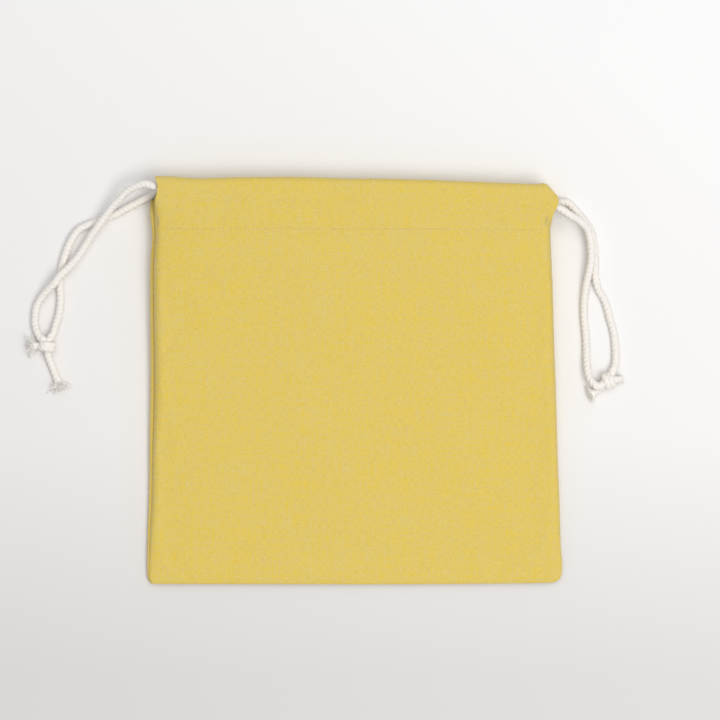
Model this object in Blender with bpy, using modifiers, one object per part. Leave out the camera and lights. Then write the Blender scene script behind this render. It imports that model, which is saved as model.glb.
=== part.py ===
"""Drawstring treat pouch, lying flat with its front up and its mouth towards +Y.

Two cloth panels are sewn together down both sides and along the bottom. Each panel's top edge is turned
down inside to make a casing. Two drawcords run through both casings: the left cord leaves by the slit on
the left and loops round inside the right corner, and the right cord is its opposite. Metres, +Z up.
"""

import math

import bmesh
import bpy
from mathutils import Vector

# Overall sizes
MOUTH_WIDTH = 0.150
BOTTOM_WIDTH = 0.1545
POUCH_HEIGHT = 0.1525
BOTTOM_CORNER = 0.004

# Cloth
CLOTH = 0.0004
LAYER_GAP = 0.0002
SEAM_GAP = 0.0003
MOUTH_GAP = 0.0043
BOTTOM_SEAM_HEIGHT = 0.002
BOTTOM_LOFT = 0.004
BODY_DROP = 0.0008
SIDE_ROUNDING = 16
BOTTOM_ROUNDING = 24

# Casings, slits and stitches
CASING_DEPTH = 0.0197
CASING_TURN = 0.0045
CASING_INSET = 0.009
STITCH_DIMPLE = 0.0012
STITCH_DIMPLE_WIDTH = 0.0025
SLIT_BELOW_CORDS = 0.00155
SLIT_EASE = 0.0015
HEM_WIDTH = 0.003
HEM_FROM_EDGE = 0.0007
THREAD = 0.0004
BARTACK = 0.0008
BARTACK_LENGTH = 0.003
OVERLOCK_WIDTH = 0.004
OVERLOCK_THICKNESS = 0.001
OVERLOCK_FROM_EDGE = 0.0016
OVERLOCK_CORNER = 0.011
SEAM_FROM_EDGE = 0.0008

# Drawcords
CORD = 0.003
CORD_PLAY = 0.0003
CORD_BELOW_TOP = 0.00375
CORDS_APART = 0.0025
CORD_INSIDE = 0.007
FREE_CORD_START = 0.0015
PIECE_GAP = 0.0003
POINT_SPACING = 0.0076
END_STEP = 0.0008
FRAY_FLARE = 1.2
KNOT_CLEARANCE = 0.25

# Heights above the table of what lies in the mouth, worked up from the back panel
BACK = CLOTH / 2
BACK_HEM = BACK + CLOTH + LAYER_GAP
BACK_CORD = BACK_HEM + CLOTH / 2 + LAYER_GAP + CORD / 2
BACK_FLAP = BACK_CORD + CORD / 2 + CORD_PLAY + CLOTH / 2
MIDDLE = BACK_FLAP + CLOTH / 2 + MOUTH_GAP / 2
FRONT = 2 * MIDDLE - BACK
FRONT_HEM = 2 * MIDDLE - BACK_HEM
FRONT_CORD = 2 * MIDDLE - BACK_CORD
FLAP_DROP = BACK_FLAP - BACK

# Places along the pouch
TOP = POUCH_HEIGHT / 2
BOTTOM = CLOTH / 2 - TOP
STITCH_LINE = TOP - CASING_DEPTH
LEFT_CORD_LINE = TOP - CORD_BELOW_TOP - CORD / 2
RIGHT_CORD_LINE = LEFT_CORD_LINE - CORD - CORDS_APART
SLIT_BASE = RIGHT_CORD_LINE - CORD / 2 - SLIT_BELOW_CORDS
FOLD_RADIUS = FLAP_DROP / 2
FOLD_LINE = TOP - CLOTH / 2 - FOLD_RADIUS
SLIT_EDGE = MOUTH_WIDTH / 2

# What lies free is placed by hand: x and y from the mouth corner on its side, then its height above the
# table in cord diameters. A knot's half lengths are in cord diameters too.
LEFT_KNOT = ((-0.0401, -0.06335, 1.07), (1.10, 1.00, 1.03))
RIGHT_KNOT = ((0.0202, -0.07645, 1.13), (1.10, 1.10, 1.10))
LEFT_FRONT_ROUTE = [
    (-0.0019, -0.0033, 3.73), (-0.0049, -0.0036, 3.47), (-0.0094, -0.0057, 2.93), (-0.0124, -0.0087, 2.43),
    (-0.0150, -0.0113, 2.07), (-0.0180, -0.0151, 1.73), (-0.0204, -0.0183, 1.60), (-0.0229, -0.0217, 1.33),
    (-0.0255, -0.0259, 1.10), (-0.0285, -0.0304, 1.17), (-0.0317, -0.0341, 1.50), (-0.0349, -0.0372, 1.67),
    (-0.0372, -0.0402, 1.53), (-0.0404, -0.0434, 1.03), (-0.0428, -0.0466, 0.70), (-0.0441, -0.0496, 0.57),
    (-0.0445, -0.0533, 0.53), (-0.0442, -0.0565, 0.67), (-0.0430, -0.0593, 0.87),
]
LEFT_BACK_ROUTE = [
    (-0.0030, -0.0083, 0.80), (-0.0068, -0.0102, 0.63), (-0.0105, -0.0121, 0.55), (-0.0143, -0.0142, 0.52),
    (-0.0214, -0.0169, 0.52), (-0.0255, -0.0184, 0.52), (-0.0285, -0.0203, 0.52), (-0.0311, -0.0241, 0.52),
    (-0.0330, -0.0286, 0.52), (-0.0341, -0.0323, 0.52), (-0.0349, -0.0361, 0.52), (-0.0351, -0.0409, 0.52),
    (-0.0349, -0.0453, 0.52), (-0.0354, -0.0509, 0.53), (-0.0366, -0.0552, 0.63), (-0.0377, -0.0588, 0.80),
]
LEFT_LONG_TAIL = [
    (-0.0394, -0.0676, 0.73), (-0.0385, -0.0699, 0.60), (-0.0373, -0.0730, 0.53), (-0.0362, -0.0760, 0.53),
    (-0.0355, -0.0786, 0.60), (-0.0350, -0.0811, 0.67),
]
LEFT_SHORT_TAIL = [
    (-0.0444, -0.0634, 0.80), (-0.0463, -0.0630, 0.70), (-0.0482, -0.0624, 0.67),
]
RIGHT_FRONT_ROUTE = [
    (0.0017, -0.0124, 3.73), (0.0053, -0.0147, 3.37), (0.0090, -0.0168, 2.63), (0.0121, -0.0199, 2.00),
    (0.0134, -0.0249, 1.70), (0.0137, -0.0311, 1.63), (0.0128, -0.0361, 1.33), (0.0118, -0.0410, 0.87),
    (0.0112, -0.0467, 0.60), (0.0112, -0.0529, 0.52), (0.0118, -0.0590, 0.52), (0.0121, -0.0653, 0.60),
    (0.0122, -0.0708, 0.93), (0.0130, -0.0751, 1.33), (0.0148, -0.0777, 1.60), (0.0166, -0.0785, 1.63),
]
RIGHT_BACK_ROUTE = [
    (0.0022, -0.0097, 0.83), (0.0053, -0.0101, 0.70), (0.0084, -0.0131, 0.57), (0.0115, -0.0168, 0.52),
    (0.0136, -0.0199, 0.52), (0.0148, -0.0249, 0.52), (0.0153, -0.0311, 0.52), (0.0154, -0.0373, 0.52),
    (0.0165, -0.0422, 0.52), (0.0190, -0.0467, 0.52), (0.0208, -0.0529, 0.52), (0.0224, -0.0590, 0.52),
    (0.0230, -0.0653, 0.53), (0.0229, -0.0700, 0.63), (0.0221, -0.0722, 0.80),
]
RIGHT_LONG_TAIL = [
    (0.0170, -0.0797, 0.57), (0.0153, -0.0807, 0.53), (0.0133, -0.0816, 0.60), (0.0113, -0.0824, 0.67),
]
RIGHT_SHORT_TAIL = [
    (0.0238, -0.0760, 0.90), (0.0254, -0.0758, 0.87), (0.0271, -0.0757, 0.87),
]

CLOTH_COLOUR = (0.737, 0.565, 0.138, 1)
THREAD_COLOUR = (0.81, 0.66, 0.26, 1)
CORD_COLOUR = (0.87, 0.83, 0.775, 1)


def clear_scene():
    for item in list(bpy.data.objects):
        bpy.data.objects.remove(item, do_unlink=True)


def pouch_collection():
    collection = bpy.data.collections.new("treat_pouch")
    bpy.context.scene.collection.children.link(collection)


def finish(item, colour, roughness):
    """Links a piece and gives it its own material."""
    bpy.data.collections["treat_pouch"].objects.link(item)
    material = bpy.data.materials.new(item.name + "_finish")
    material.use_nodes = True
    shader = material.node_tree.nodes["Principled BSDF"]
    shader.inputs["Base Color"].default_value = colour
    shader.inputs["Roughness"].default_value = roughness
    shader.inputs["Metallic"].default_value = 0
    item.data.materials.append(material)
    return item


def smoothstep(low, high, value):
    t = min(1, max(0, (value - low) / (high - low)))
    return t * t * (3 - 2 * t)


# The cloth body. Both panels are heights over (x, y), from the seam at their edge to their full height.


def half_width(y):
    """Half of the outline's width, with the bottom corners rounded off."""
    t = (TOP - y) / (TOP - BOTTOM)
    width = (MOUTH_WIDTH + (BOTTOM_WIDTH - MOUTH_WIDTH) * t**3) / 2
    below = BOTTOM + BOTTOM_CORNER - y
    if below > 0:
        width -= BOTTOM_CORNER - math.sqrt(max(0, BOTTOM_CORNER**2 - below**2))
    return width


def seam_height(y):
    t = min(1, (y - BOTTOM) / (SLIT_BASE - BOTTOM))
    return BOTTOM_SEAM_HEIGHT + (MIDDLE - BOTTOM_SEAM_HEIGHT) * t * t


def fullness(x, y):
    """0 at a seam, where the panels meet, and 1 away from it. Above the slit's base the sides are open."""
    side = math.sqrt(max(0, 1 - (abs(x) / half_width(y)) ** SIDE_ROUNDING))
    side += (1 - side) * smoothstep(SLIT_BASE - SLIT_EASE, SLIT_BASE + SLIT_EASE, y)
    bottom = math.sqrt(max(0, 1 - (min(y, 0) / BOTTOM) ** BOTTOM_ROUNDING))
    return side * bottom


def dimple(y):
    return STITCH_DIMPLE * math.exp(-(((y - STITCH_LINE) / STITCH_DIMPLE_WIDTH) ** 2))


def front_height(x, y):
    """Height of the front panel's middle surface."""
    t = min(1, (y - BOTTOM) / (STITCH_LINE - BOTTOM))
    body = FRONT - BODY_DROP
    crown = BOTTOM_LOFT + (body - BOTTOM_LOFT) * t
    crown += BODY_DROP * smoothstep(STITCH_LINE, SLIT_BASE, y) - dimple(y)
    edge = seam_height(y) + SEAM_GAP / 2 + CLOTH / 2
    return edge + (crown - edge) * fullness(x, y)


def back_height(x, y):
    """Height of the back panel's middle surface, which lies on the table away from its edges."""
    edge = seam_height(y) - SEAM_GAP / 2 - CLOTH / 2
    return edge + (BACK + dimple(y) - edge) * fullness(x, y)


def flap_drop(y):
    """How far the turned-down flap lies inside the panel: a cord's tunnel, then sewn to the panel."""
    sewn = CLOTH + SEAM_GAP
    return sewn + (FLAP_DROP - sewn) * smoothstep(STITCH_LINE + CLOTH, SLIT_BASE + SLIT_EASE, y)


def panel_rows(height, inward):
    """Rows of one panel from its bottom seam, over the fold at the mouth and down the flap inside.

    inward is -1 on the front panel and 1 on the back panel. A row is a function from a side position,
    -1 to 1, to a point.
    """
    rows = []

    def add(y, width_share, level):
        def row(share):
            x = share * half_width(y) * width_share
            return Vector((x, y, level(x)))

        rows.append(row)

    flap_share = 1 - CASING_INSET / SLIT_EDGE
    from_bottom = (0, 0.0004, 0.0012, 0.0028, 0.0055, 0.0095, 0.015, 0.024, 0.035, 0.048, 0.061, 0.074, 0.087, 0.1)
    outer = [BOTTOM + step for step in from_bottom]
    outer += [STITCH_LINE + step for step in (-0.020, -0.011, -0.0055, -0.0028, -0.0013, 0, 0.0013, 0.0028)]
    outer += [SLIT_BASE + SLIT_EASE * step for step in (-1, -0.5, 0, 0.5, 1)]
    outer += [(SLIT_BASE + SLIT_EASE + FOLD_LINE) / 2, FOLD_LINE]
    for y in outer:
        add(y, 1, lambda x, y=y: height(x, y))
    for step in range(1, 6):
        angle = math.pi * step / 6
        y = FOLD_LINE + FOLD_RADIUS * math.sin(angle)
        drop = FOLD_RADIUS * (1 - math.cos(angle))
        share = 1 + (flap_share - 1) * smoothstep(0, 1, step / 6)
        add(y, share, lambda x, drop=drop: height(x, FOLD_LINE) + inward * drop)
    flap_end = STITCH_LINE - CASING_TURN
    inner = [FOLD_LINE, (SLIT_BASE + SLIT_EASE + FOLD_LINE) / 2, SLIT_BASE + SLIT_EASE]
    inner += [SLIT_BASE, SLIT_BASE - SLIT_EASE, (SLIT_BASE - SLIT_EASE + STITCH_LINE) / 2]
    inner += [STITCH_LINE, (STITCH_LINE + flap_end) / 2, flap_end]
    for y in inner:
        add(y, flap_share, lambda x, y=y: height(x, y) + inward * flap_drop(y))
    return rows


def side_shares(count=11, crowding=2.4):
    """Positions across a panel, -1 to 1, crowded towards its rounded sides."""
    right = [1 - (1 - step / count) ** crowding for step in range(count + 1)]
    return [-share for share in reversed(right[1:])] + right


def sheet(name, rows, shares, thickness, colour, roughness=0.9):
    """A sheet of even thickness whose middle surface runs through every row."""
    mesh = bpy.data.meshes.new(name)
    grid = bmesh.new()
    bmesh.ops.create_grid(grid, x_segments=len(shares) - 1, y_segments=len(rows) - 1, size=1)
    for vertex in grid.verts:
        column = round((vertex.co.x + 1) / 2 * (len(shares) - 1))
        row = round((vertex.co.y + 1) / 2 * (len(rows) - 1))
        vertex.co = rows[row](shares[column])
    grid.to_mesh(mesh)
    grid.free()
    mesh.shade_smooth()
    item = bpy.data.objects.new(name, mesh)
    solidify = item.modifiers.new("thickness", "SOLIDIFY")
    solidify.thickness = thickness
    solidify.offset = 0
    return finish(item, colour, roughness)


def panels():
    for name, height, inward in (("front_panel", front_height, -1), ("back_panel", back_height, 1)):
        sheet(name, panel_rows(height, inward), side_shares(), CLOTH, CLOTH_COLOUR)


def overlocks():
    """The seam allowances inside the pouch, their raw edges wrapped in overlock thread."""
    low = BOTTOM + OVERLOCK_CORNER
    high = SLIT_BASE - 2 * SLIT_EASE
    steps = 14
    for name, side in (("left_seam_overlock", -1), ("right_seam_overlock", 1)):
        rows = []
        for step in range(steps + 1):
            y = low + (high - low) * step / steps
            middle = half_width(y) - OVERLOCK_FROM_EDGE - OVERLOCK_WIDTH / 2
            rows.append(
                lambda share, y=y, middle=middle: Vector(
                    (side * middle + share * OVERLOCK_WIDTH / 2, y, seam_height(y))
                )
            )
        sheet(name, rows, [-1, 1], OVERLOCK_THICKNESS, THREAD_COLOUR)
    length = half_width(BOTTOM + BOTTOM_CORNER) - OVERLOCK_CORNER
    rows = [
        lambda share, y=BOTTOM + OVERLOCK_FROM_EDGE + step: Vector((share * length, y, seam_height(y)))
        for step in (0, OVERLOCK_WIDTH)
    ]
    sheet("bottom_seam_overlock", rows, [-1, -0.5, 0, 0.5, 1], OVERLOCK_THICKNESS, THREAD_COLOUR)


def tube(name, points, radius, colour, radii=None, resolution=2):
    """A round cord or thread through these points, closed at both ends."""
    curve = bpy.data.curves.new(name, "CURVE")
    curve.dimensions = "3D"
    curve.bevel_depth = radius
    curve.bevel_resolution = resolution
    curve.use_fill_caps = True
    spline = curve.splines.new("POLY")
    spline.points.add(len(points) - 1)
    for index, point in enumerate(points):
        spline.points[index].co = (*point, 1)
        spline.points[index].radius = radii[index] if radii else 1
    return finish(bpy.data.objects.new(name, curve), colour, 0.85)


def over_panel(height, outward, x, y, clearance):
    """A point this far outside a panel's middle surface, square to it. outward is 1 in front, -1 behind."""
    step = 1e-5
    slope_x = (height(x + step, y) - height(x - step, y)) / (2 * step)
    slope_y = (height(x, y + step) - height(x, y - step)) / (2 * step)
    normal = Vector((-slope_x, -slope_y, 1)).normalized() * outward
    return Vector((x, y, height(x, y))) + normal * clearance


def threads():
    clearance = CLOTH / 2 + PIECE_GAP + THREAD / 2
    reach = SLIT_EDGE - CASING_INSET + THREAD
    count = 24
    for name, height, outward in (
        ("front_casing_thread", front_height, 1),
        ("back_casing_thread", back_height, -1),
    ):
        across = [reach * (2 * step / count - 1) for step in range(count + 1)]
        points = [over_panel(height, outward, x, STITCH_LINE, clearance) for x in across]
        tube(name, points, THREAD / 2, THREAD_COLOUR, resolution=1)
    clearance = CLOTH / 2 + PIECE_GAP + BARTACK / 2
    for name, side in (("left_bartack", -1), ("right_bartack", 1)):
        x = side * (SLIT_EDGE - OVERLOCK_FROM_EDGE)
        top = SLIT_BASE - SLIT_EASE
        points = [over_panel(front_height, 1, x, top - BARTACK_LENGTH * step / 3, clearance) for step in range(4)]
        tube(name, points, BARTACK / 2, THREAD_COLOUR)


def seam_threads():
    """The stitches that join the panels, just inside the pouch's edge."""
    high = SLIT_BASE - 2 * SLIT_EASE
    steps = 12
    for name, side in (("left_seam_thread", -1), ("right_seam_thread", 1)):
        points = []
        for step in range(steps + 1):
            y = BOTTOM + BOTTOM_CORNER + (high - BOTTOM - BOTTOM_CORNER) * step / steps
            points.append((side * (half_width(y) - SEAM_FROM_EDGE), y, seam_height(y)))
        tube(name, points, THREAD / 2, THREAD_COLOUR, resolution=1)
    y = BOTTOM + SEAM_FROM_EDGE
    reach = half_width(BOTTOM + BOTTOM_CORNER) - BOTTOM_CORNER
    points = [(reach * share, y, seam_height(y)) for share in (-1, -0.5, 0, 0.5, 1)]
    tube("bottom_seam_thread", points, THREAD / 2, THREAD_COLOUR, resolution=1)


def slit_hems():
    """The turned edges of the slits, inside the outer cloth and clear of the cords."""
    length = FOLD_LINE - SLIT_BASE - SLIT_EASE - LAYER_GAP
    for side_name, side in (("left", -1), ("right", 1)):
        for face, level in (("front", FRONT_HEM), ("back", BACK_HEM)):
            name = f"{side_name}_{face}_slit_hem"
            mesh = bpy.data.meshes.new(name)
            block = bmesh.new()
            bmesh.ops.create_cube(block, size=1)
            bmesh.ops.scale(block, vec=(HEM_WIDTH, length, CLOTH), verts=block.verts)
            middle = (
                side * (SLIT_EDGE - HEM_FROM_EDGE - HEM_WIDTH / 2),
                FOLD_LINE - LAYER_GAP / 2 - length / 2,
                level,
            )
            bmesh.ops.translate(block, vec=middle, verts=block.verts)
            block.to_mesh(mesh)
            block.free()
            item = bpy.data.objects.new(name, mesh)
            bevel = item.modifiers.new("soft_edge", "BEVEL")
            bevel.width = CLOTH / 4
            bevel.segments = 2
            finish(item, CLOTH_COLOUR, 0.9)


# The drawcords


def smooth_route(points, samples=12):
    """A smooth curve through points, as many short steps."""
    ends = [2 * points[0] - points[1], *points, 2 * points[-1] - points[-2]]
    route = []
    for first, start, end, last in zip(ends, ends[1:], ends[2:], ends[3:]):
        for step in range(samples):
            t = step / samples
            route.append(
                0.5
                * (
                    2 * start
                    + (end - first) * t
                    + (2 * first - 5 * start + 4 * end - last) * t**2
                    + (3 * start - first - 3 * end + last) * t**3
                )
            )
    return route + [points[-1]]


def stretch(route, start, end, spacing):
    """Points on a route between two distances along it, with a short step at each end to square its face."""
    along = [0]
    for a, b in zip(route, route[1:]):
        along.append(along[-1] + (b - a).length)
    end = along[-1] if end is None else end
    end_step = min(END_STEP, (end - start) / 3)
    low, high = start + end_step, end - end_step
    count = max(1, round((high - low) / spacing))
    evenly = [low + (high - low) * step / count for step in range(count + 1)]
    found, at = [], 0
    for wanted in [start, *evenly, end]:
        while at < len(route) - 2 and along[at + 1] < wanted:
            at += 1
        t = (wanted - along[at]) / (along[at + 1] - along[at])
        found.append(route[at].lerp(route[at + 1], t))
    return found


def from_corner(side, places, highest=math.inf):
    """Points from their places on a route. A cord only falls from the casing that it leaves."""
    corner = Vector((side * SLIT_EDGE, TOP, 0))
    return [corner + Vector((across, along, min(height * CORD, highest))) for across, along, height in places]


def outside_knot(route, side, place):
    """The part of a route that stops short of a knot's surface."""
    centre = from_corner(side, [place[0]])[0]
    clear = CORD * KNOT_CLEARANCE + PIECE_GAP
    reach = [half * CORD + clear for half in place[1]]
    return [p for p in route if sum(((p[i] - centre[i]) / reach[i]) ** 2 for i in range(3)) > 1]


def drawcord(side_name, side, line, front_route, back_route, knot_place):
    """One cord: its run through both casings with the loop in the far corner, and its two free ends."""
    inside = side * (SLIT_EDGE - CORD_INSIDE)
    exit_at = CORD_INSIDE - FREE_CORD_START
    casing_ends = []
    for face, level, places in (("front", FRONT_CORD, front_route), ("back", BACK_CORD, back_route)):
        led_in = [Vector((inside, line, level)), Vector((inside + side * CORD, line, level))]
        whole = smooth_route(led_in + from_corner(side, places, level))
        route = outside_knot(whole, side, knot_place)
        casing_ends.append(stretch(route, 0, exit_at, exit_at))
        tube(
            f"{side_name}_cord_{face}_end",
            stretch(route, exit_at + PIECE_GAP, None, POINT_SPACING),
            CORD / 2,
            CORD_COLOUR,
        )
    radius = (FRONT_CORD - BACK_CORD) / 2
    loop = [
        Vector((-inside - side * radius * math.sin(turn), line, MIDDLE + radius * math.cos(turn)))
        for turn in (math.pi * step / 8 for step in range(9))
    ]
    front_end, back_end = casing_ends
    tube(f"{side_name}_cord_in_casing", front_end[::-1] + loop + back_end, CORD / 2, CORD_COLOUR)


def knot(name, side, place):
    centre = from_corner(side, [place[0]])[0]
    mesh = bpy.data.meshes.new(name)
    ball = bmesh.new()
    bmesh.ops.create_uvsphere(ball, u_segments=16, v_segments=10, radius=1)
    bmesh.ops.scale(ball, vec=Vector(place[1]) * CORD, verts=ball.verts)
    bmesh.ops.translate(ball, vec=centre, verts=ball.verts)
    ball.to_mesh(mesh)
    ball.free()
    mesh.shade_smooth()
    finish(bpy.data.objects.new(name, mesh), CORD_COLOUR, 0.85)


def tail(name, side, places, knot_place):
    """A cord's cut end beyond the knot, opening out a little where it frays."""
    route = outside_knot(smooth_route(from_corner(side, places)), side, knot_place)
    points = stretch(route, 0, None, CORD)
    flare = [1 + (FRAY_FLARE - 1) * (index / (len(points) - 1)) ** 2 for index in range(len(points))]
    tube(name, points, CORD / 2, CORD_COLOUR, radii=flare)


def main():
    clear_scene()
    pouch_collection()
    panels()
    overlocks()
    threads()
    seam_threads()
    slit_hems()
    drawcord("left", -1, LEFT_CORD_LINE, LEFT_FRONT_ROUTE, LEFT_BACK_ROUTE, LEFT_KNOT)
    drawcord("right", 1, RIGHT_CORD_LINE, RIGHT_FRONT_ROUTE, RIGHT_BACK_ROUTE, RIGHT_KNOT)
    knot("left_knot", -1, LEFT_KNOT)
    knot("right_knot", 1, RIGHT_KNOT)
    tail("left_long_tail", -1, LEFT_LONG_TAIL, LEFT_KNOT)
    tail("left_short_tail", -1, LEFT_SHORT_TAIL, LEFT_KNOT)
    tail("right_long_tail", 1, RIGHT_LONG_TAIL, RIGHT_KNOT)
    tail("right_short_tail", 1, RIGHT_SHORT_TAIL, RIGHT_KNOT)


main()
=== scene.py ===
"""The looks of the drawstring treat pouch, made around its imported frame. Metres, +Z up."""

import math
import random

import bmesh
import bpy
import numpy as np
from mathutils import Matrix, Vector


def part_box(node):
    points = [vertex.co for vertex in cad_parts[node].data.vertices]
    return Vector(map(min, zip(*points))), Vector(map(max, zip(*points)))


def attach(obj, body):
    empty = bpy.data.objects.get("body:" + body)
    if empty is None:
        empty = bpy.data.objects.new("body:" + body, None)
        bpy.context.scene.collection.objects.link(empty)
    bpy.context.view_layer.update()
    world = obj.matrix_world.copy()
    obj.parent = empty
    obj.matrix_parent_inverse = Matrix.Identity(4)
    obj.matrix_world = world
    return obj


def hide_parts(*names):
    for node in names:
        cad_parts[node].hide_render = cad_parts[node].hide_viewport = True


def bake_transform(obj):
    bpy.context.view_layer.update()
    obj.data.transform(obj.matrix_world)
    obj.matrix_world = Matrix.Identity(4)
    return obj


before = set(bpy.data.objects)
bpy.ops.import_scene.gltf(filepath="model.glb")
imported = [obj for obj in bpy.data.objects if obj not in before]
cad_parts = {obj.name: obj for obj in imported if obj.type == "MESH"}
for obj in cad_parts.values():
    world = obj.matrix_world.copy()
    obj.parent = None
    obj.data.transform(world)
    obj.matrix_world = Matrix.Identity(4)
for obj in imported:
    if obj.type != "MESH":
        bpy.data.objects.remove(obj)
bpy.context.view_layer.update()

# Sizes that the frame gives
THREAD_LOW, THREAD_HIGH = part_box("front_casing_thread")
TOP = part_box("front_panel")[1].y
STITCH_LINE = (THREAD_LOW.y + THREAD_HIGH.y) / 2

# Cloth
CLOTH = 0.0004
LAYER_GAP = 0.0002
BOTTOM = CLOTH / 2 - TOP
SEAM_GAP = 0.0003
MOUTH_GAP = 0.0043
BOTTOM_SEAM_HEIGHT = 0.002
BOTTOM_LOFT = 0.004
BODY_DROP = 0.0004
STITCH_DIMPLE = 0.0006
STITCH_DIMPLE_WIDTH = 0.0022
CASING_TURN = 0.0045
SLIT_EASE = 0.0015
LEFT_SLIT_SHUT = 0.0035
THREAD = 0.0004
STITCH_PITCH = 0.0032
STITCH_LENGTH = 0.0024
STITCHES_PER_HALF = 22
SEAM_STITCH = (0.0021, 0.00018)
MOST_SETTLING = 0.0008
DRAPE_FRAMES = 24
DRAPE = {
    "quality": 6, "mass": 0.002, "air_damping": 3, "tension_stiffness": 12, "compression_stiffness": 12,
    "shear_stiffness": 4, "bending_stiffness": 0.05, "shrink_min": -0.004,
}

# Drawcords
CORD = 0.003
CORD_PLAY = 0.0003
CORD_BELOW_TOP = 0.00375
CORDS_APART = 0.0025
CORD_INSIDE = 0.007
FREE_CORD_START = 0.0015
LOOP_REACH = 0.0715
SLIT_BELOW_CORDS = 0.00155
SLIT_EDGE = 0.075
CORD_LAY = 0.0052
RING_STEP = 0.0003
EVEN_STEP = 0.0002

# Heights above the table of what lies in the mouth, worked up from the back panel
BACK = CLOTH / 2
BACK_HEM = BACK + CLOTH + LAYER_GAP
BACK_CORD = BACK_HEM + CLOTH / 2 + LAYER_GAP + CORD / 2
BACK_FLAP = BACK_CORD + CORD / 2 + CORD_PLAY + CLOTH / 2
MIDDLE = BACK_FLAP + CLOTH / 2 + MOUTH_GAP / 2
FRONT = 2 * MIDDLE - BACK
FRONT_CORD = 2 * MIDDLE - BACK_CORD
FLAP_DROP = BACK_FLAP - BACK

# Places along the pouch
LEFT_CORD_LINE = TOP - CORD_BELOW_TOP - CORD / 2
RIGHT_CORD_LINE = LEFT_CORD_LINE - CORD - CORDS_APART
SLIT_BASE = RIGHT_CORD_LINE - CORD / 2 - SLIT_BELOW_CORDS
FOLD_RADIUS = FLAP_DROP / 2
FOLD_LINE = TOP - CLOTH / 2 - FOLD_RADIUS

# The two drawcords. A place is x and y from the mouth corner on its side, in millimetres, then the height in
# cord diameters.
SIDES = {"left": -1, "right": 1}
CORD_LINES = {"left": LEFT_CORD_LINE, "right": RIGHT_CORD_LINE}
# Each knot's place, and half its size in cord diameters
KNOTS = {
    "left": ((-40.1, -63.35, 1.07), (1.10, 1.00, 1.03)),
    "right": ((20.2, -76.45, 1.13), (1.10, 1.10, 1.10)),
}
ROUTES = {}
TAILS = {}
ROUTES["left", "front"] = [
    (-1.9, -3.3, 3.73), (-4.9, -3.6, 3.47), (-9.4, -5.7, 2.93), (-12.4, -8.7, 2.43), (-15.0, -11.3, 2.07),
    (-18.0, -15.1, 1.73), (-20.4, -18.3, 1.60), (-22.9, -21.7, 1.33), (-25.5, -25.9, 1.10),
    (-28.5, -30.4, 1.17), (-31.7, -34.1, 1.50), (-34.9, -37.2, 1.67), (-37.2, -40.2, 1.53),
    (-40.4, -43.4, 1.03), (-42.8, -46.6, 0.70), (-44.1, -49.6, 0.57), (-44.5, -53.3, 0.53),
    (-44.2, -56.5, 0.67), (-43.0, -59.3, 0.87),
]
ROUTES["left", "back"] = [
    (-3.0, -8.3, 0.80), (-6.8, -10.2, 0.63), (-10.5, -12.1, 0.55), (-14.3, -14.2, 0.52),
    (-21.4, -16.9, 0.52), (-25.5, -18.4, 0.52), (-28.5, -20.3, 0.52), (-31.1, -24.1, 0.52),
    (-33.0, -28.6, 0.52), (-34.1, -32.3, 0.52), (-34.9, -36.1, 0.52), (-35.1, -40.9, 0.52),
    (-34.9, -45.3, 0.52), (-35.4, -50.9, 0.53), (-36.6, -55.2, 0.63), (-37.7, -58.8, 0.80),
]
TAILS["left", "long"] = [
    (-39.4, -67.6, 0.73), (-38.5, -69.9, 0.60), (-37.3, -73.0, 0.53), (-36.2, -76.0, 0.53),
    (-35.5, -78.6, 0.60), (-35.0, -81.1, 0.67),
]
TAILS["left", "short"] = [(-44.4, -63.4, 0.80), (-46.3, -63.0, 0.70), (-48.2, -62.4, 0.67)]
ROUTES["right", "front"] = [
    (1.7, -12.4, 3.73), (5.3, -14.7, 3.37), (9.0, -16.8, 2.63), (12.1, -19.9, 2.00), (13.4, -24.9, 1.70),
    (13.7, -31.1, 1.63), (12.8, -36.1, 1.33), (11.8, -41.0, 0.87), (11.2, -46.7, 0.60),
    (11.2, -52.9, 0.52), (11.8, -59.0, 0.52), (12.1, -65.3, 0.60), (12.2, -70.8, 0.93),
    (13.0, -75.1, 1.33), (14.8, -77.7, 1.60), (16.6, -78.5, 1.63),
]
ROUTES["right", "back"] = [
    (2.2, -9.7, 0.83), (5.3, -10.1, 0.70), (8.4, -13.1, 0.57), (11.5, -16.8, 0.52), (13.6, -19.9, 0.52),
    (14.8, -24.9, 0.52), (15.3, -31.1, 0.52), (15.4, -37.3, 0.52), (16.5, -42.2, 0.52),
    (19.0, -46.7, 0.52), (20.8, -52.9, 0.52), (22.4, -59.0, 0.52), (23.0, -65.3, 0.53),
    (22.9, -70.0, 0.63), (22.1, -72.2, 0.80),
]
TAILS["right", "long"] = [
    (17.0, -79.7, 0.57), (15.3, -80.7, 0.53), (13.3, -81.6, 0.60), (11.3, -82.4, 0.67),
]
TAILS["right", "short"] = [(23.8, -76.0, 0.90), (25.4, -75.8, 0.87), (27.1, -75.7, 0.87)]
# How long each tail's frayed end is
FRAYS = {
    ("left", "long"): 0.0050, ("left", "short"): 0.0048,
    ("right", "long"): 0.0036, ("right", "short"): 0.0020,
}
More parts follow.
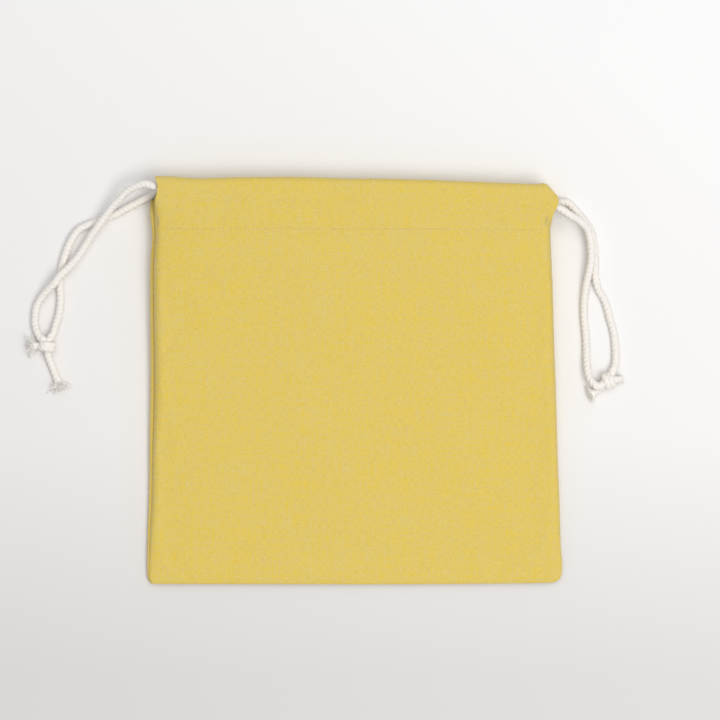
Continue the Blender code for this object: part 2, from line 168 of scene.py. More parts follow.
# In each knot, from its place: the cord that runs through it, where the other one comes in, and the middle,
# axis, first side, turns, half width, half height, length and first turn of that one's winding
KNOT_SHAPES = {
    "left": (
        (
            (0.0022, 0.0046, 0.0026), (0.0006, 0.0012, 0.0031), (0.0002, -0.0016, 0.0028),
            (0.0008, -0.0044, 0.0021),
        ),
        (-0.0030, 0.0042, 0.0025),
        ((0.0004, 0, 0.0032), (-0.35, -1.0, 0.0), (1, -0.3, 0), 2.2, 0.0021, 0.0018, 0.0034, math.pi * 0.9),
    ),
    "right": (
        (
            (-0.0036, -0.0020, 0.0036), (-0.0012, -0.0004, 0.0040), (0.0012, 0.0002, 0.0034),
            (0.0036, 0.0004, 0.0027),
        ),
        None,
        ((0, 0, 0.0034), (1, 0.25, 0), (0.25, -1, 0), 1.9, 0.0021, 0.0019, 0.0032, math.pi * 0.6),
    ),
}

# Colours
CLOTH_YELLOW = (0.785, 0.573, 0.085, 1)
CLOTH_TAN = (0.735, 0.575, 0.195, 1)
CLOTH_SHADE = (0.60, 0.44, 0.08, 1)
THICK_YARN = (0.56, 0.42, 0.095, 1)
FLECK = (0.42, 0.23, 0.04, 1)
CORD_DARK = (0.90, 0.850, 0.785, 1)
CORD_LIGHT = (0.97, 0.935, 0.885, 1)
CORD_LUMP = (0.92, 0.855, 0.775, 1)
THREAD_DARK = (0.72, 0.56, 0.19, 1)
THREAD_LIGHT = (0.84, 0.70, 0.31, 1)
NEEDLE_HOLE_SHADE = (0.34, 0.22, 0.05, 1)
# Painted light and shade on the floor: darker at its lower left, lighter at its upper right.
TABLE_NEAR_PAINTED_SHADE = (0.795, 0.765, 0.745, 1)
TABLE_FAR_PAINTED_LIGHT = (0.920, 0.912, 0.905, 1)
# Painted shade on the floor, darker toward its front edge.
TABLE_EDGE_PAINTED_SHADE = (0.55, 0.54, 0.525, 1)


# Shader maths


class Value:
    """A shader socket that takes part in sums as a number does."""

    def __init__(self, finish, socket):
        self.finish = finish
        self.socket = socket

    def combine(self, operation, first, second):
        return self.finish.node("ShaderNodeMath", {"operation": operation}, {0: first, 1: second})

    def __add__(self, other):
        return self.combine("ADD", self, other)

    def __radd__(self, other):
        return self.combine("ADD", other, self)

    def __sub__(self, other):
        return self.combine("SUBTRACT", self, other)

    def __rsub__(self, other):
        return self.combine("SUBTRACT", other, self)

    def __mul__(self, other):
        return self.combine("MULTIPLY", self, other)

    def __rmul__(self, other):
        return self.combine("MULTIPLY", other, self)


class Finish:
    """One material, whose nodes are added by type, settings and socket values."""

    def __init__(self, name):
        self.material = bpy.data.materials.new(name)
        self.material.use_nodes = True
        self.tree = self.material.node_tree
        self.shader = self.tree.nodes["Principled BSDF"]

    def node(self, kind, settings=None, inputs=None, output=0):
        made = self.tree.nodes.new(kind)
        for name, value in (settings or {}).items():
            setattr(made, name, value)
        for name, value in (inputs or {}).items():
            self.connect(made.inputs[name], value)
        return Value(self, made.outputs[output])

    def connect(self, socket, value):
        if isinstance(value, Value):
            self.tree.links.new(value.socket, socket)
        else:
            socket.default_value = value

    def set(self, **inputs):
        for name, value in inputs.items():
            self.connect(self.shader.inputs[name.replace("_", " ")], value)

    def mix(self, share, first, second):
        return self.node("ShaderNodeMix", {"data_type": "RGBA"}, {0: share, 6: first, 7: second}, output=2)

    def sine(self, value):
        return self.node("ShaderNodeMath", {"operation": "SINE"}, {0: value})

    def size(self, value):
        return self.node("ShaderNodeMath", {"operation": "ABSOLUTE"}, {0: value})

    def ramp(self, value, low, high):
        inputs = {"Value": value, "From Min": low, "From Max": high}
        return self.node("ShaderNodeMapRange", {"clamp": True}, inputs)

    def vector(self, x, y, z=0.0):
        return self.node("ShaderNodeCombineXYZ", None, {0: x, 1: y, 2: z})

    def noise(self, place, detail, roughness=0.5, scale=1.0):
        """Noise at a vector, or at the x, y and z of one."""
        vector = place if isinstance(place, Value) else self.vector(*place)
        inputs = {"Vector": vector, "Scale": scale, "Detail": detail, "Roughness": roughness}
        return self.node("ShaderNodeTexNoise", None, inputs)

    def bump(self, height, distance, strength):
        inputs = {"Height": height, "Distance": distance, "Strength": strength}
        return self.node("ShaderNodeBump", None, inputs)

    def split(self, vector):
        """A vector's first two values."""
        first = self.node("ShaderNodeSeparateXYZ", None, {0: vector})
        return first, Value(self, first.socket.node.outputs[1])

    def along_surface(self):
        """The piece's own flat coordinates, in millimetres."""
        across, along = self.split(self.node("ShaderNodeUVMap", {"uv_map": "flat"}))
        return across * 1000.0, along * 1000.0


def cloth_finish():
    """Plain woven cotton: yellow warp with tan weft, uneven yarns, small knots of fibre and a few flecks."""
    finish = Finish("yellow_cotton")
    u, v = finish.along_surface()
    warp = finish.noise((u * 2.1, v * 0.15), 2.0, 0.6)
    weft = finish.noise((u * 0.13, v * 1.9, 7.0), 2.0, 0.6)
    slub = finish.noise((u * 0.9, v * 0.035, 3.0), 1.0)
    cross_slub = finish.noise((u * 0.03, v * 0.8, 5.0), 1.0)
    patch = finish.noise((u * 0.03, v * 0.03, 11.0), 3.0)
    share = (warp - 0.5) * 2.3 + (weft - 0.5) * 2.1 + (slub - 0.5) * 0.8 + (cross_slub - 0.5) * 0.7
    share = share + (patch - 0.5) * 0.35 + 0.46
    colour = finish.mix(finish.ramp(share, 0.0, 1.0), CLOTH_YELLOW, CLOTH_TAN)
    shade = finish.ramp(finish.noise((u * 1.7, v * 1.7, 2.0), 1.0), 0.2, 0.8)
    colour = finish.mix(shade * 0.12, colour, CLOTH_SHADE)
    fine = finish.noise((u * 2.6, v * 0.5, 9.0), 1.0)
    cross_fine = finish.noise((u * 0.5, v * 2.6, 13.0), 1.0)
    thick_yarns = finish.ramp(fine * 0.5 + cross_fine * 0.5, 0.42, 0.62)
    colour = finish.mix(thick_yarns * 0.30, colour, THICK_YARN)
    cells = {"Vector": finish.vector(u, v), "Scale": 0.052, "Randomness": 1.0}
    spot = 1.0 - finish.ramp(finish.node("ShaderNodeTexVoronoi", None, cells), 0.009, 0.016)
    colour = finish.mix(spot * 0.45, colour, FLECK)
    warp_pitch, weft_pitch = 0.42, 0.45
    over = finish.sine(u * (math.pi / warp_pitch)) * finish.sine(v * (math.pi / weft_pitch))
    yarns = over * 0.5 + warp * 0.9 + weft * 0.9
    finish.set(
        Base_Color=colour,
        Roughness=finish.ramp(warp, -1.0, 1.6) * 0.2 + 0.78,
        Normal=finish.bump(yarns, 0.00006, 0.7),
        Sheen_Weight=0.25,
        Sheen_Roughness=0.5,
        Specular_IOR_Level=0.25,
    )
    return finish.material


def cord_finish(name="twisted_cotton", fibres=1.0, shade=1.0):
    """Undyed cotton: fine fibres that run round each strand, with small shadows between them."""
    finish = Finish(name)
    u, v = finish.along_surface()
    fibre = finish.noise((u * 0.045 * fibres + v * 1.4, v * 0.5 - u * 0.004), 3.0, 0.65)
    lump = finish.noise((u * 0.004, v * 0.35, 4.0), 2.0)
    fibre_light = 1.0 - (1.0 - finish.ramp(fibre, 0.25, 0.75)) * shade
    colour = finish.mix(fibre_light, CORD_DARK, CORD_LIGHT)
    colour = finish.mix(finish.ramp(lump, 0.3, 0.8) * 0.30 * shade, colour, CORD_LUMP)
    finish.set(
        Base_Color=colour,
        Roughness=fibre * 0.1 + 0.82,
        Normal=finish.bump(fibre + lump * 0.5, 0.00009, 0.7),
        Sheen_Weight=0.35,
        Sheen_Roughness=0.6,
        Specular_IOR_Level=0.2,
    )
    return finish.material


def thread_finish(name="sewing_thread", painted_needle_shade=0.0):
    """Spun sewing thread, a little lighter than the cloth, with painted shade at each stitch's ends, where
    it goes into the cloth.
    """
    finish = Finish(name)
    u, v = finish.along_surface()
    tone = finish.noise((u * 0.01, v * 2.4), 3.0)
    colour = finish.mix(finish.ramp(tone, 0.2, 0.8), THREAD_DARK, THREAD_LIGHT)
    from_middle = finish.size(v - STITCH_LENGTH * 500)
    # Painted shade: the thread is darker at each stitch's ends, where it dives into its needle hole.
    colour = finish.mix(finish.ramp(from_middle, 0.8, 1.1) * painted_needle_shade, colour, NEEDLE_HOLE_SHADE)
    finish.set(
        Base_Color=colour,
        Roughness=tone * 0.2 + 0.55,
        Normal=finish.bump(tone, 0.00004, 0.6),
        Sheen_Weight=0.2,
    )
    return finish.material


# The camera, the floor and the lights


def camera():
    """Looks straight down on the pouch and its cords."""
    distance, seen_width = 1.5, 0.270
    bpy.ops.object.camera_add(location=(0.00225, 0.0075, distance), rotation=(0, 0, 0))
    made = bpy.context.object
    made.name = "overhead_camera"
    made.data.sensor_width = 36
    made.data.lens = made.data.sensor_width * distance / seen_width
    made.data.clip_start = 0.01
    made.data.clip_end = 20
    bpy.context.scene.camera = made


def floor():
    bpy.ops.mesh.primitive_plane_add(size=6, location=(0, 0, 0))
    made = bpy.context.object
    made.name = "pale_floor"
    finish = Finish("pale_table")
    place = finish.node("ShaderNodeTexCoord", output=3)
    across, along = finish.split(place)
    # Painted light and shade: the floor's colour goes from darker at the lower left to lighter at the upper
    # right, as a lamp's falloff would make it.
    painted_light_far_corner = finish.ramp(across * 0.55 + along, -0.17, 0.17)
    cloud = finish.noise(place, 2.0, scale=3.0) * 0.25
    colour = finish.mix(painted_light_far_corner + cloud - 0.125, TABLE_NEAR_PAINTED_SHADE, TABLE_FAR_PAINTED_LIGHT)
    # Painted shade: the floor darkens toward its front edge, from y = -0.02 m to y = -0.11 m.
    painted_shade_near_edge = 1.0 - finish.ramp(along, -0.11, -0.02)
    finish.set(
        Base_Color=finish.mix(painted_shade_near_edge * 0.42, colour, TABLE_EDGE_PAINTED_SHADE),
        Roughness=0.7,
        Specular_IOR_Level=0.2,
    )
    made.data.materials.append(finish.material)


def lamp(name, place, size, power, colour):
    """A square lamp that shines at the pouch."""
    bpy.ops.object.light_add(type="AREA", location=place)
    made = bpy.context.object
    made.name = name
    made.data.shape = "SQUARE"
    made.data.size = size
    made.data.energy = power
    made.data.color = colour
    made.rotation_euler = (-Vector(place)).to_track_quat("-Z", "Y").to_euler()


def lights():
    lamp("window_light", (0.50, -0.31, 1.28), size=0.60, power=6.85, colour=(1.0, 0.98, 0.95))
    lamp("ceiling_light", (0.10, 0.34, 1.75), size=1.6, power=12.6, colour=(0.97, 0.985, 1.0))
    world = bpy.data.worlds.new("studio")
    world.use_nodes = True
    sky = world.node_tree.nodes["Background"].inputs
    sky["Color"].default_value = (0.97, 0.98, 1.0, 1)
    sky["Strength"].default_value = 0.45
    bpy.context.scene.world = world
    bpy.context.scene.view_settings.view_transform = "Standard"


# Cords


def from_corner(side, places, highest=math.inf):
    """Points from their places on a route. A cord only falls from the casing that it leaves."""
    corner = Vector((side * SLIT_EDGE, TOP, 0))
    return [corner + Vector((x / 1000, y / 1000, min(height * CORD, highest))) for x, y, height in places]


def smooth_route(points, samples=12):
    """A smooth curve through points, as many short steps."""
    ends = [2 * points[0] - points[1], *points, 2 * points[-1] - points[-2]]
    route = []
    for first, start, end, last in zip(ends, ends[1:], ends[2:], ends[3:]):
        for step in range(samples):
            t = step / samples
            bend = (2 * first - 5 * start + 4 * end - last) * t**2
            twist = (3 * start - first - 3 * end + last) * t**3
            route.append(0.5 * (2 * start + (end - first) * t + bend + twist))
    return route + [points[-1]]


def knot_centre(name):
    return from_corner(SIDES[name], KNOTS[name][:1])[0]


def outside_knot(route, name):
    """The part of a route that stops inside a knot, near its middle."""
    centre, nearest = knot_centre(name), 0.2
    reach = [half * CORD for half in KNOTS[name][1]]
    return [p for p in route if sum(((p[i] - centre[i]) / reach[i]) ** 2 for i in range(3)) > nearest]


def distances(line):
    """How far along a line each of its points lies."""
    return np.concatenate([[0], np.cumsum(np.linalg.norm(np.diff(line, axis=0), axis=1))])


def even_points(route, spacing):
    """The route at even distances, with the distance to each point."""
    points = np.array(route, float)
    along = distances(points)
    count = max(2, round(along[-1] / spacing))
    places = np.linspace(0, along[-1], count + 1)
    return np.stack([np.interp(places, along, points[:, axis]) for axis in range(3)], axis=1), places


def route_length(route):
    return float(even_points(route, 0.001)[1][-1])


def side_vectors(points):
    """Two directions square to the line at each point, which don't spin about it."""
    heading = np.gradient(points, axis=0)
    heading /= np.linalg.norm(heading, axis=1)[:, None]
    first = np.cross(heading[0], [0, 0, 1] if abs(heading[0][2]) < 0.9 else [1, 0, 0])
    sides = []
    for direction in heading:
        first = first - direction * first.dot(direction)
        first = first / np.linalg.norm(first)
        sides.append((first, np.cross(direction, first)))
    return np.array(sides)


def strand_reach(angle, strands=3):
    """How far a twisted cord's surface lies from its middle, as a share of its radius."""
    size, offset, groove = 0.565, 0.445, 0.885
    slice_angle = 2 * math.pi / strands
    nearest = (angle + slice_angle / 2) % slice_angle - slice_angle / 2
    inside = size**2 - (offset * np.sin(nearest)) ** 2
    return np.maximum(offset * np.cos(nearest) + np.sqrt(np.maximum(inside, 0)), groove)


def tube_faces(count, around, first):
    """The faces of a closed tube whose corners start at first, with their places round it and along it."""
    row, step = np.meshgrid(np.arange(count - 1), np.arange(around), indexing="ij")
    row, step = row.ravel(), step.ravel()
    after = (step + 1) % around
    low, high = row * around, (row + 1) * around
    quads = np.stack([low + step, low + after, high + after, high + step], 1)
    quad_places = np.stack([step, row, step + 1, row, step + 1, row + 1, step, row + 1], 1).reshape(-1, 2)
    steps = np.arange(around)
    after = (steps + 1) % around
    low_pole, high_pole, last = count * around, count * around + 1, (count - 1) * around
    caps = np.concatenate([
        np.stack([0 * steps + low_pole, after, steps], 1),
        np.stack([0 * steps + high_pole, last + steps, last + after], 1),
    ])
    cap_rows = np.repeat([0, count - 1], around * 3)
    cap_places = np.stack([np.tile(np.repeat(steps, 3), 2), cap_rows], 1)
    faces = (quads + first).tolist() + (caps + first).tolist()
    return faces, np.concatenate([quad_places, cap_places])


def in_scene(name, mesh):
    made = bpy.data.objects.new(name, mesh)
    bpy.context.scene.collection.objects.link(made)
    return made


def tube_mesh(name, tubes, material):
    """One piece of closed tubes, each of them rings of points and the distance along it of each ring."""
    corners, faces, flat = [], [], []
    for rings, lengths in tubes:
        count, around = rings.shape[:2]
        made, places = tube_faces(count, around, sum(len(part) for part in corners))
        poles = [rings[0].mean(axis=0), rings[-1].mean(axis=0)]
        corners.append(np.concatenate([rings.reshape(-1, 3), poles]))
        faces += made
        flat.append(np.stack([places[:, 0] / around, np.asarray(lengths)[places[:, 1]]], 1))
    mesh = bpy.data.meshes.new(name)
    mesh.from_pydata(np.concatenate(corners).tolist(), [], faces)
    layer = mesh.uv_layers.new(name="flat")
    layer.data.foreach_set("uv", np.concatenate(flat).astype(np.float32).ravel())
    mesh.shade_smooth()
    mesh.materials.append(material)
    return in_scene(name, mesh)


def cord_rings(route, radius=CORD / 2, step=RING_STEP, around=18, lay=CORD_LAY, shape=None, strands=3):
    """Rings of a cord along a route. shape gives a scale for each share of its length."""
    points, along = even_points(route, step)
    sides = side_vectors(points)
    angles = 2 * math.pi * np.arange(around) / around
    reach = strand_reach(angles, strands) if strands else np.ones(around)
    turn = 2 * math.pi * along / lay if strands else 0 * along
    scale = radius * (np.ones(len(along)) if shape is None else shape(along / along[-1]))
    where = angles[None, :] + turn[:, None]
    first, second = sides[:, 0][:, None, :], sides[:, 1][:, None, :]
    out = first * np.cos(where)[..., None] + second * np.sin(where)[..., None]
    return points[:, None, :] + out * (reach[None, :] * scale[:, None])[..., None], along


def tuft(name, end, heading, material, seed, length, spread, fibres=120):
    """A cut cord's end: its three strands come apart, and loose fibres stand out between them."""
    draw = random.Random(seed)
    heading = Vector(heading).normalized()
    across = heading.orthogonal().normalized()
    other = heading.cross(across)
    tubes = []
    for thread in range(3 + fibres):
        strand = thread < 3
        turn = thread * 2 * math.pi / 3 + 0.5 if strand else draw.uniform(0, 2 * math.pi)
        out = 0.75 if strand else math.sqrt(draw.random())
        aside = across * math.cos(turn) + other * math.sin(turn)
        start = Vector(end) + aside * out * CORD * 0.36 - heading * 0.0016
        reach = length * (draw.uniform(0.62, 0.78) if strand else draw.uniform(0.6, 1.0))
        lean = aside * out * spread * (0.5 if strand else draw.uniform(0.4, 1.3))
        curl = Vector([draw.uniform(-1, 1) for axis in range(3)]) * (0.1 if strand else 0.24)
        thick = 0.00058 if strand else draw.choice((0.00012, 0.00018, 0.00026))
        points = []
        for step in range(6):
            t = step / 5
            place = start + (heading * (1 - 0.25 * t * out) + lean * t + curl * t * t) * reach * t
            points.append(Vector((place.x, place.y, max(place.z, thick + 0.00015))))
        if strand:
            made = cord_rings(points, thick, around=9, lay=-0.0018, shape=lambda share: 1 - 0.55 * share**3)
        else:
            made = cord_rings(points, thick, reach / 5, 4, shape=lambda share: 1 - 0.6 * share, strands=0)
        tubes.append(made)
    return tube_mesh(name, tubes, material)


def loop_route(side, line):
    """Through both casings and the loop at the far corner, from the run's front end to its back end."""
    radius = (FRONT_CORD - BACK_CORD) / 2
    inside = side * (SLIT_EDGE - CORD_INSIDE)
    far = -side * (LOOP_REACH - CORD / 2 - radius)
    exit_at = inside + side * (CORD_INSIDE - FREE_CORD_START)
    draw = random.Random(5 + side)
    phases = [draw.uniform(0, 6.28) for wave in range(4)]

    def sway(x, phase):
        return 0.0005 * math.sin(x * 120 + phase) * min(1, max(0, (0.062 - abs(x)) / 0.02))

    def run(start, end, level, along, up):
        places = [start + (end - start) * step / 24 for step in range(1, 24)]
        return [Vector((x, line + sway(x, along), level + 0.3 * sway(x, up))) for x in places]

    route = [Vector((exit_at, line, FRONT_CORD)), Vector((inside, line, FRONT_CORD))]
    route += run(inside, far, FRONT_CORD, *phases[:2])
    for turn in (math.pi * step / 10 for step in range(11)):
        route.append(Vector((far - side * radius * math.sin(turn), line, MIDDLE + radius * math.cos(turn))))
    route += run(far, inside, BACK_CORD, *phases[2:])
    return route + [Vector((inside, line, BACK_CORD)), Vector((exit_at, line, BACK_CORD))]


def free_route(name, face, level):
    """From the casing's mouth into the knot."""
    side, line = SIDES[name], CORD_LINES[name]
    inside = side * (SLIT_EDGE - CORD_INSIDE)
    led_in = [Vector((inside, line, level)), Vector((inside + side * CORD, line, level))]
    places = [*ROUTES[name, face], KNOTS[name][0]]
    whole = outside_knot(smooth_route(led_in + from_corner(side, places, level)), name)
    points, along = even_points(whole, EVEN_STEP)
    start = CORD_INSIDE - FREE_CORD_START
    return [Vector(point) for point, distance in zip(points, along) if distance >= start]


def wound_route(centre, axis, across, turns, wide, high, length, start_turn):
    """A cord's turns round an axis, seen as a coil squeezed to wide and high."""
    axis, across = Vector(axis).normalized(), Vector(across).normalized()
    up = axis.cross(across)
    steps = int(turns * 20)
    route = []
    for step in range(steps + 1):
        angle = start_turn + 2 * math.pi * turns * step / steps
        along = axis * ((step / steps - 0.5) * length)
        route.append(Vector(centre) + along + across * math.cos(angle) * wide + up * math.sin(angle) * high)
    return route


def knots(material):
    """Each pair of cord ends, tied together: one end is wound round the other and pulled tight."""
    tied = {}
    for name, (core, entry, (middle, *winding)) in KNOT_SHAPES.items():
        place = knot_centre(name)

        def at(spot):
            return Vector((place.x + spot[0], place.y + spot[1], spot[2]))

        wound = wound_route(at(middle), *winding)
        if entry:
            wound = smooth_route([at(entry), wound[0]], 4)[:-1] + wound
        through_it = cord_rings(smooth_route([at(spot) for spot in core]), CORD * 0.46)
        tied[name] = tube_mesh(f"{name}_knot_wound", [through_it, cord_rings(wound, CORD * 0.43)], material)
    return tied


def tail(name, kind, seed, material, fibre):
    """A cord's end beyond the knot: the cord, which opens out, and the fray that takes up its last part."""
    points = from_corner(SIDES[name], TAILS[name, kind])
    start = points[0].lerp(knot_centre(name), 0.45)
    points, along = even_points(smooth_route([start] + points), EVEN_STEP)
    reach = FRAYS[name, kind]
    end = along[-1] - reach * 0.72
    route = [Vector(point) for point, distance in zip(points, along) if distance <= end]
    rings = cord_rings(route, CORD / 2 * 0.96, shape=lambda share: 1 + 0.12 * share**3)
    cut = tube_mesh(f"{name}_{kind}_tail_cord", [rings], material)
    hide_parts(f"{name}_{kind}_tail")
    heading, spread = route[-1] - route[-8], 0.5 if reach < 0.003 else 0.85
    return [cut, tuft(f"{name}_{kind}_tail_fray", route[-1], heading, fibre, seed, reach, spread)]


def free_cord(name, face, level, material):
    """The free length of cord from one casing to the knot."""
    route = free_route(name, face, level)
    free = tube_mesh(f"{name}_{face}_free_cord", [cord_rings(route)], material)
    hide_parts(f"{name}_cord_{face}_end")
    route_length(route)
    return free


def cords():
    material = cord_finish()
    fibre = cord_finish("cotton_fibre", 0.3, 0.15)
    tied = knots(material)
    for name, side in SIDES.items():
        rings = cord_rings(loop_route(side, CORD_LINES[name]))
        held = tube_mesh(f"{name}_cord_through_casings", [rings], material)
        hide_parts(f"{name}_cord_in_casing")
        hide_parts(f"{name}_knot")
        long_tail = tail(name, "long", 21 + side, material, fibre)
        short_tail = tail(name, "short", 31 + side, material, fibre)
        front = free_cord(name, "front", FRONT_CORD, material)
        back = free_cord(name, "back", BACK_CORD, material)
        for piece in (held, tied[name], *long_tail, *short_tail, front, back):
            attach(piece, f"{name}_drawcord")


# The cloth. A row runs across a panel, and a column from its bottom seam over the fold and down the flap.


def through(points, at):
    """A smooth curve through (place, value) points in millimetres, read at each place in at, in metres."""
    places, values = np.array(points, float).T / 1000
    slopes = np.gradient(values, places)
    first = np.clip(np.searchsorted(places, at) - 1, 0, len(places) - 2)
    step = places[first + 1] - places[first]
    t = np.clip((at - places[first]) / step, 0, 1)
    start = (2 * t**3 - 3 * t**2 + 1) * values[first] + (t**3 - 2 * t**2 + t) * slopes[first] * step
    end = (3 * t**2 - 2 * t**3) * values[first + 1] + (t**3 - t**2) * slopes[first + 1] * step
    return start + end


def smoothstep(low, high, value):
    t = np.clip((value - low) / (high - low), 0, 1)
    return t * t * (3 - 2 * t)


def hump(value, middle, width):
    return np.exp(-(((value - middle) / width) ** 2))


def stacked(*axes):
    return np.stack(np.broadcast_arrays(*axes), axis=-1)


# The outline, in millimetres: the height up the pouch, then how far out the edge is there
FRONT_LEFT_EDGE = [
    (-76.2, 75.2), (-75.0, 76.1), (-73.5, 76.6), (-71.5, 76.6), (-60.0, 76.3), (-45.0, 75.5),
    (-30.0, 75.2), (-8.0, 74.5), (5.0, 74.4), (25.0, 74.6), (45.0, 74.5), (54.0, 73.9), (60.0, 74.2),
    (64.0, 74.1), (68.0, 73.6), (70.5, 73.1), (73.5, 73.2), (75.0, 73.9), (76.4, 74.5),
]
BACK_LEFT_EDGE = [
    (-76.2, 75.7), (-75.0, 76.6), (-73.5, 77.1), (-71.5, 77.2), (-60.0, 77.1), (-45.0, 76.6),
    (-20.0, 76.3), (5.0, 75.9), (25.0, 76.0), (45.0, 75.8), (54.0, 75.2), (60.0, 75.7), (64.0, 76.3),
    (68.0, 75.8), (70.0, 74.8), (73.5, 73.3), (76.4, 73.3),
]
RIGHT_EDGE = [
    (-76.2, 73.6), (-75.7, 75.4), (-74.9, 76.7), (-73.5, 77.5), (-71.5, 77.7), (-62.0, 77.2),
    (-45.0, 76.7), (-30.0, 76.1), (-8.0, 75.5), (14.0, 74.7), (36.0, 74.0), (49.0, 73.4), (54.0, 73.2),
    (59.0, 73.2), (63.5, 73.7), (68.0, 74.5), (70.0, 75.0), (72.0, 75.6), (76.4, 76.3),
]
FRONT_EDGES = (("left", -1, FRONT_LEFT_EDGE), ("right", 1, RIGHT_EDGE))
# How far across, then the height of the mouth's edge or the bottom's there
MOUTH_EDGE = [
    (-75.0, 76.0), (-70.0, 76.0), (-60.0, 75.3), (-43.0, 75.6), (-20.0, 75.7), (-3.0, 75.3), (13.5, 74.9),
    (30.0, 74.5), (41.5, 74.1), (53.0, 73.7), (64.0, 73.2), (69.0, 73.2), (70.3, 73.5), (71.1, 73.7),
    (71.8, 73.1), (73.0, 71.7), (75.0, 69.4), (77.5, 66.5),
]
BOTTOM_EDGE = [(-78.0, -76.2), (40.0, -76.2), (60.0, -76.0), (78.0, -75.7)]


def outline(share, y, left):
    """How far across a point is, from its share of the width, -1 to 1."""
    return np.where(share < 0, share * through(left, y), share * through(RIGHT_EDGE, y))


def seam_height(y):
    t = np.clip((y - BOTTOM) / (SLIT_BASE - BOTTOM), 0, 1)
    return BOTTOM_SEAM_HEIGHT + (MIDDLE - BOTTOM_SEAM_HEIGHT) * t * t


def side_dome(share, y):
    """0 at a side seam and 1 in the middle. Above the slits the sides are open."""
    nose = np.sqrt(np.clip(1 - np.abs(share) ** 90, 0, 1))
    dome = 0.80 * nose + 0.20 * (1 - np.abs(share) ** 10)
    opening = SLIT_BASE + np.where(share < 0, LEFT_SLIT_SHUT, 0)
    return dome + (1 - dome) * smoothstep(opening - 0.0045, opening + 0.002, y)


def bottom_dome(y):
    depth = np.clip((y - BOTTOM) / 0.026, 0, 1)
    return 0.35 * np.sqrt(1 - (1 - np.clip(depth * 8, 0, 1)) ** 2) + 0.65 * np.sin(depth * math.pi / 2)


def ripple(x, y, seed, length):
    """A soft uneven field, about -1 to 1, whose hills are this long."""
    draw = random.Random(seed)
    field = np.zeros(np.broadcast(x, y).shape)
    for wave in range(9):
        heading, phase = draw.uniform(0, math.pi), draw.uniform(0, 2 * math.pi)
        size = 2 * math.pi / (length * draw.uniform(0.7, 1.8))
        field += np.sin((x * math.cos(heading) + y * math.sin(heading)) * size + phase)
    return field / 4.5


def pucker(x, y):
    """The cloth gathers a little between stitches, and less away from the seam."""
    near = hump(y, STITCH_LINE, 0.0030)
    stitches = -0.00008 * np.cos(2 * math.pi * x / STITCH_PITCH)
    folds = 0.00010 * ripple(x, 0 * y, 4, 0.010) * hump(y, STITCH_LINE, 0.0065)
    return stitches * near + folds


def front_height(share, x, y):
    t = np.clip((y - BOTTOM) / (STITCH_LINE - BOTTOM), 0, 1)
    crown = BOTTOM_LOFT + (FRONT - BODY_DROP - BOTTOM_LOFT) * (0.88 * t + 0.12 * t * t)
    crown = crown + BODY_DROP * smoothstep(STITCH_LINE, SLIT_BASE, y)
    crown = crown - STITCH_DIMPLE * hump(y, STITCH_LINE, STITCH_DIMPLE_WIDTH)
    crown = crown + 0.00030 * (hump(y, LEFT_CORD_LINE, 0.002) + hump(y, RIGHT_CORD_LINE, 0.002))
    crown = crown + 0.00015 * smoothstep(-0.0005, 0.0005, y - STITCH_LINE + CASING_TURN)
    crown = crown + 0.00020 * ripple(x, y, 8, 0.045) + pucker(x, y)
    edge = seam_height(y) + SEAM_GAP / 2 + CLOTH / 2
    return edge + (crown - edge) * side_dome(share, y) * bottom_dome(y)


def back_height(share, x, y):
    edge = seam_height(y) - SEAM_GAP / 2 - CLOTH / 2
    dimple = 0.9 * STITCH_DIMPLE * hump(y, STITCH_LINE, STITCH_DIMPLE_WIDTH) - pucker(x, y)
    lift = np.clip(0.00012 * ripple(x, y, 15, 0.050), 0, None)
    return edge + (BACK + dimple + lift - edge) * side_dome(share, y) * bottom_dome(y)


def flap_drop(y):
    """How far the turned-down flap lies inside the panel: a cord's tunnel, then sewn to the panel."""
    sewn = CLOTH + SEAM_GAP + 0.0003 * smoothstep(STITCH_LINE - 0.001, STITCH_LINE - CASING_TURN, y)
    return sewn + (FLAP_DROP - sewn) * smoothstep(STITCH_LINE + CLOTH, SLIT_BASE + SLIT_EASE, y)


def spaced(start, end, spacing):
    count = max(1, round(abs(end - start) / spacing))
    return np.linspace(start, end, count + 1)[:-1]


def panel_rows():
    """Each row's place up the panel, how far beyond that it lies, its drop inside, and 1 once turned."""
    near_stitches = 0.0026
    flap_end = STITCH_LINE - CASING_TURN
    outer = np.concatenate([
        BOTTOM + np.array([0, 0.0003, 0.0008, 0.0015, 0.0025, 0.0038, 0.0053]),
        spaced(BOTTOM + 0.007, flap_end - 0.001, 0.0017),
        spaced(flap_end - 0.001, STITCH_LINE + near_stitches, 0.00065),
        spaced(STITCH_LINE + near_stitches, FOLD_LINE, 0.0013),
    ])
    inner = np.concatenate([spaced(FOLD_LINE, flap_end, 0.0015)[1:], [flap_end]])
    rows = [(y, 0, 0, 0) for y in outer]
    for turn in np.linspace(0, math.pi, 9):
        over, drop = FOLD_RADIUS * math.sin(turn), FOLD_RADIUS * (1 - math.cos(turn))
        rows.append((FOLD_LINE, over, drop, turn / math.pi))
    rows += [(y, 0, flap_drop(y), 1) for y in inner]
    return np.array(rows, float)


def column_shares():
    """Places across a panel, -1 to 1, closer together at its edges."""
    edge = np.array([0, 0.0004, 0.0010, 0.0018, 0.0028, 0.0040, 0.0055]) / SLIT_EDGE
    spacing = 0.0016 / SLIT_EDGE
    middle = spaced(edge[-1] + spacing, 1, spacing)
    half = 1 - np.concatenate([edge, middle])
    return np.concatenate([-half, [0], half[::-1]])


def settled(x, y):
    """The height up the pouch of a place on a panel, which follows its uneven mouth and bottom."""
    rise = smoothstep(STITCH_LINE - 0.008, FOLD_LINE, y)
    sink = smoothstep(BOTTOM + 0.012, BOTTOM, y)
    lean = (through(MOUTH_EDGE, x) - TOP) * rise + (through(BOTTOM_EDGE, x) - BOTTOM) * sink
    return y + lean + 0.00015 * ripple(x, 0 * y, 3, 0.03) * rise


